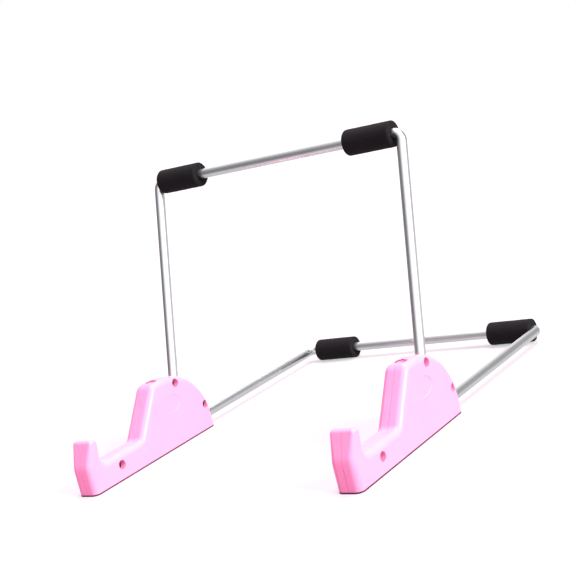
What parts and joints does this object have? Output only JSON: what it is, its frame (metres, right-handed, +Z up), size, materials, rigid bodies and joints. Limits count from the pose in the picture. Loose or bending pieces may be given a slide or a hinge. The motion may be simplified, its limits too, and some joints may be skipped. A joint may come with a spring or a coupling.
{
  "type": "take-apart book and tablet stand",
  "caption": "Take-apart table stand: lipped plastic feet hold the lower edge of a book or tablet, and a leaning tube frame with foam sleeves backs it.",
  "frame": {"origin": "on the table, midway between the feet and midway between the front of the feet and the back of the lower sleeves", "axes": "+X from the left foot to the right foot, +Y from the lip towards the back, +Z up"},
  "size_m": [0.2554, 0.3332, 0.2179],
  "materials": {
    "foot_plastic": "moulded pink plastic, soft satin gloss",
    "tube_metal": "satin drawn tube",
    "foam": "matte black closed-cell foam",
    "sole_rubber": "matte dark anti-slip pad",
    "screw_steel": "dull self-tapping screw"
  },
  "bodies": {
    "lower_frame": {"lower_tube": "tube_metal"},
    "left_foot": {"left_foot_screw_half": "foot_plastic", "left_foot_plain_half": "foot_plastic", "left_sole_pad": "sole_rubber", "left_front_screw": "screw_steel", "left_top_screw": "screw_steel", "left_rear_screw": "screw_steel"},
    "right_foot": {"right_foot_screw_half": "foot_plastic", "right_foot_plain_half": "foot_plastic", "right_sole_pad": "sole_rubber", "right_front_screw": "screw_steel", "right_top_screw": "screw_steel", "right_rear_screw": "screw_steel"},
    "upper_frame": {"upper_tube": "tube_metal"},
    "upper_left_sleeve": {"upper_left_sleeve": "foam"},
    "upper_right_sleeve": {"upper_right_sleeve": "foam"},
    "lower_left_sleeve": {"lower_left_sleeve": "foam"},
    "lower_right_sleeve": {"lower_right_sleeve": "foam"}
  },
  "joints": [
    {"name": "left_foot_slide", "type": "slide", "parent": "lower_frame", "child": "left_foot", "axis": [0, -1, 0], "range_m": [0, 0.045]},
    {"name": "right_foot_slide", "type": "slide", "parent": "lower_frame", "child": "right_foot", "axis": [0, -1, 0], "range_m": [0, 0.045]},
    {"name": "upper_frame_slide", "type": "slide", "parent": "left_foot", "child": "upper_frame", "axis": [0, 0.2823, 0.9593], "range_m": [0, 0.045]},
    {"name": "upper_left_sleeve_slide", "type": "slide", "parent": "upper_frame", "child": "upper_left_sleeve", "axis": [1, 0, 0], "range_m": [0, 0.06]},
    {"name": "upper_right_sleeve_slide", "type": "slide", "parent": "upper_frame", "child": "upper_right_sleeve", "axis": [-1, 0, 0], "range_m": [0, 0.06]},
    {"name": "lower_left_sleeve_slide", "type": "slide", "parent": "lower_frame", "child": "lower_left_sleeve", "axis": [1, 0, 0], "range_m": [-0.005, 0.055]},
    {"name": "lower_right_sleeve_slide", "type": "slide", "parent": "lower_frame", "child": "lower_right_sleeve", "axis": [-1, 0, 0], "range_m": [0, 0.06]}
  ],
  "couplings": [
    {"joint": "right_foot_slide", "follows": "left_foot_slide", "ratio": 1}
  ]
}
